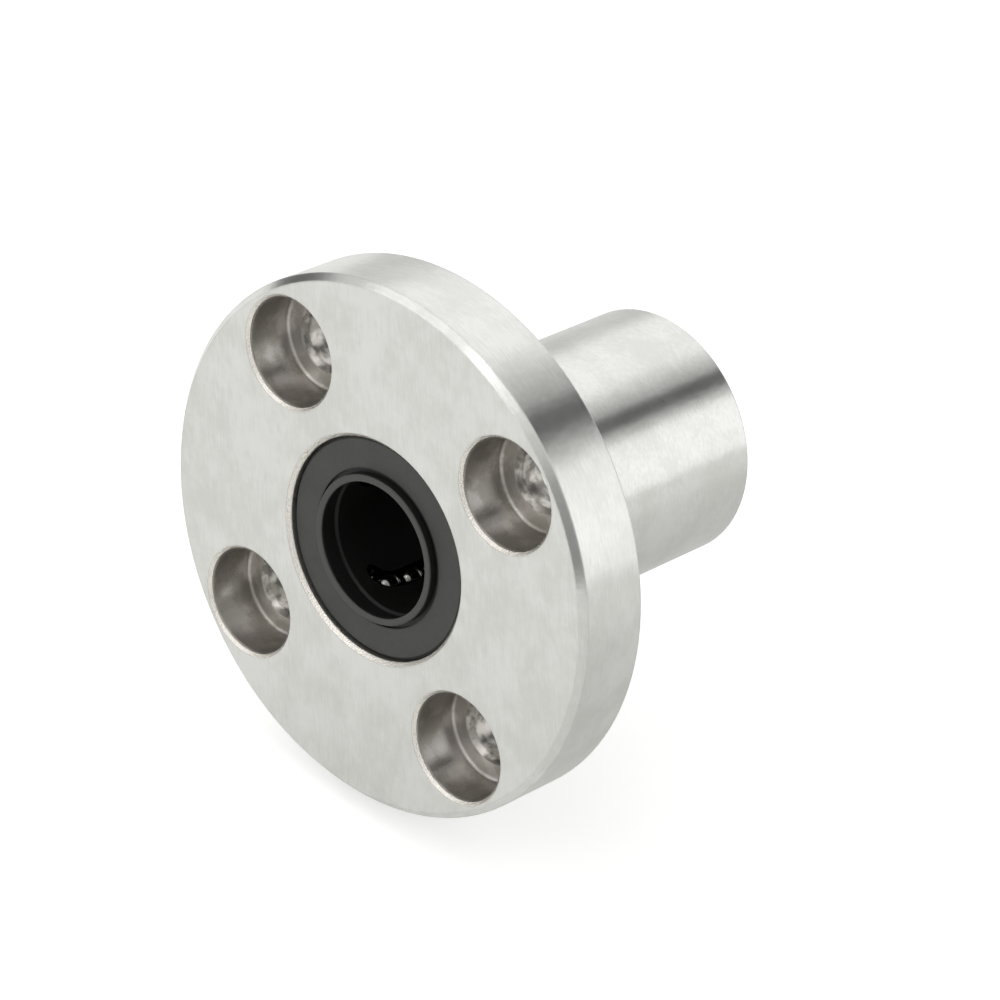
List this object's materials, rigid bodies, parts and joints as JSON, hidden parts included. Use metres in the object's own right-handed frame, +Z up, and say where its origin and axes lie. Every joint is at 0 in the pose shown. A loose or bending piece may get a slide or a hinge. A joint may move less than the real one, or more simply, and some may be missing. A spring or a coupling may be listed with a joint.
{
  "type": "flanged linear bearing",
  "caption": "Round-flange linear ball bearing for an 8 mm shaft: ground steel housing, resin cage, recirculating balls and a seal at each end.",
  "frame": {"origin": "centre of the bore on the flange's mounting face, the back face that bolts against a housing block", "axes": "+Y along the bore axis from the flange towards the sleeve's end; the front face with the counterbores looks along -Y; +Z up, midway between two bolt holes"},
  "size_m": [0.032, 0.024, 0.032],
  "materials": {
    "bearing_steel": "satin ground bearing steel",
    "cage_resin": "matt moulded resin",
    "seal_rubber": "matt moulded nitrile rubber",
    "polished_balls": "polished chromium steel balls"
  },
  "bodies": {
    "housing": {"flanged_housing": "bearing_steel", "ball_cage": "cage_resin", "front_seal": "seal_rubber", "rear_seal": "seal_rubber"},
    "loaded_balls_1": {"loaded_balls_1": "polished_balls"},
    "return_balls_1": {"return_balls_1": "polished_balls"},
    "front_turn_balls_1": {"front_turn_balls_1": "polished_balls"},
    "rear_turn_balls_1": {"rear_turn_balls_1": "polished_balls"},
    "loaded_balls_2": {"loaded_balls_2": "polished_balls"},
    "return_balls_2": {"return_balls_2": "polished_balls"},
    "front_turn_balls_2": {"front_turn_balls_2": "polished_balls"},
    "rear_turn_balls_2": {"rear_turn_balls_2": "polished_balls"},
    "loaded_balls_3": {"loaded_balls_3": "polished_balls"},
    "return_balls_3": {"return_balls_3": "polished_balls"},
    "front_turn_balls_3": {"front_turn_balls_3": "polished_balls"},
    "rear_turn_balls_3": {"rear_turn_balls_3": "polished_balls"},
    "loaded_balls_4": {"loaded_balls_4": "polished_balls"},
    "return_balls_4": {"return_balls_4": "polished_balls"},
    "front_turn_balls_4": {"front_turn_balls_4": "polished_balls"},
    "rear_turn_balls_4": {"rear_turn_balls_4": "polished_balls"}
  },
  "joints": [
    {"name": "loaded_row_travel_1", "type": "slide", "parent": "housing", "child": "loaded_balls_1", "axis": [0, 1, 0], "range_m": [-0.00083, 0.00083]},
    {"name": "return_row_travel_1", "type": "slide", "parent": "housing", "child": "return_balls_1", "axis": [0, 1, 0], "range_m": [-0.00083, 0.00083]},
    {"name": "front_turn_travel_1", "type": "hinge", "parent": "housing", "child": "front_turn_balls_1", "pos_m": [0.00279, -0.00054, 0.00423], "axis": [0.2588, 0, 0.9659], "range_deg": [-30, 30]},
    {"name": "rear_turn_travel_1", "type": "hinge", "parent": "housing", "child": "rear_turn_balls_1", "pos_m": [0.00279, 0.01454, 0.00423], "axis": [0.2588, 0, 0.9659], "range_deg": [-30, 30]},
    {"name": "loaded_row_travel_2", "type": "slide", "parent": "housing", "child": "loaded_balls_2", "axis": [0, 1, 0], "range_m": [-0.00083, 0.00083]},
    {"name": "return_row_travel_2", "type": "slide", "parent": "housing", "child": "return_balls_2", "axis": [0, 1, 0], "range_m": [-0.00083, 0.00083]},
    {"name": "front_turn_travel_2", "type": "hinge", "parent": "housing", "child": "front_turn_balls_2", "pos_m": [-0.00423, -0.00054, 0.00279], "axis": [-0.9659, 0, 0.2588], "range_deg": [-30, 30]},
    {"name": "rear_turn_travel_2", "type": "hinge", "parent": "housing", "child": "rear_turn_balls_2", "pos_m": [-0.00423, 0.01454, 0.00279], "axis": [-0.9659, 0, 0.2588], "range_deg": [-30, 30]},
    {"name": "loaded_row_travel_3", "type": "slide", "parent": "housing", "child": "loaded_balls_3", "axis": [0, 1, 0], "range_m": [-0.00083, 0.00083]},
    {"name": "return_row_travel_3", "type": "slide", "parent": "housing", "child": "return_balls_3", "axis": [0, 1, 0], "range_m": [-0.00083, 0.00083]},
    {"name": "front_turn_travel_3", "type": "hinge", "parent": "housing", "child": "front_turn_balls_3", "pos_m": [-0.00279, -0.00054, -0.00423], "axis": [-0.2588, 0, -0.9659], "range_deg": [-30, 30]},
    {"name": "rear_turn_travel_3", "type": "hinge", "parent": "housing", "child": "rear_turn_balls_3", "pos_m": [-0.00279, 0.01454, -0.00423], "axis": [-0.2588, 0, -0.9659], "range_deg": [-30, 30]},
    {"name": "loaded_row_travel_4", "type": "slide", "parent": "housing", "child": "loaded_balls_4", "axis": [0, 1, 0], "range_m": [-0.00083, 0.00083]},
    {"name": "return_row_travel_4", "type": "slide", "parent": "housing", "child": "return_balls_4", "axis": [0, 1, 0], "range_m": [-0.00083, 0.00083]},
    {"name": "front_turn_travel_4", "type": "hinge", "parent": "housing", "child": "front_turn_balls_4", "pos_m": [0.00423, -0.00054, -0.00279], "axis": [0.9659, 0, -0.2588], "range_deg": [-30, 30]},
    {"name": "rear_turn_travel_4", "type": "hinge", "parent": "housing", "child": "rear_turn_balls_4", "pos_m": [0.00423, 0.01454, -0.00279], "axis": [0.9659, 0, -0.2588], "range_deg": [-30, 30]}
  ],
  "couplings": [
    {"joint": "front_turn_travel_1", "follows": "loaded_row_travel_1", "rad_per_m": -625},
    {"joint": "rear_turn_travel_1", "follows": "loaded_row_travel_1", "rad_per_m": -625},
    {"joint": "return_row_travel_1", "follows": "loaded_row_travel_1", "ratio": -1},
    {"joint": "front_turn_travel_2", "follows": "loaded_row_travel_2", "rad_per_m": -625},
    {"joint": "rear_turn_travel_2", "follows": "loaded_row_travel_2", "rad_per_m": -625},
    {"joint": "return_row_travel_2", "follows": "loaded_row_travel_2", "ratio": -1},
    {"joint": "front_turn_travel_3", "follows": "loaded_row_travel_3", "rad_per_m": -625},
    {"joint": "rear_turn_travel_3", "follows": "loaded_row_travel_3", "rad_per_m": -625},
    {"joint": "return_row_travel_3", "follows": "loaded_row_travel_3", "ratio": -1},
    {"joint": "front_turn_travel_4", "follows": "loaded_row_travel_4", "rad_per_m": -625},
    {"joint": "rear_turn_travel_4", "follows": "loaded_row_travel_4", "rad_per_m": -625},
    {"joint": "return_row_travel_4", "follows": "loaded_row_travel_4", "ratio": -1}
  ]
}
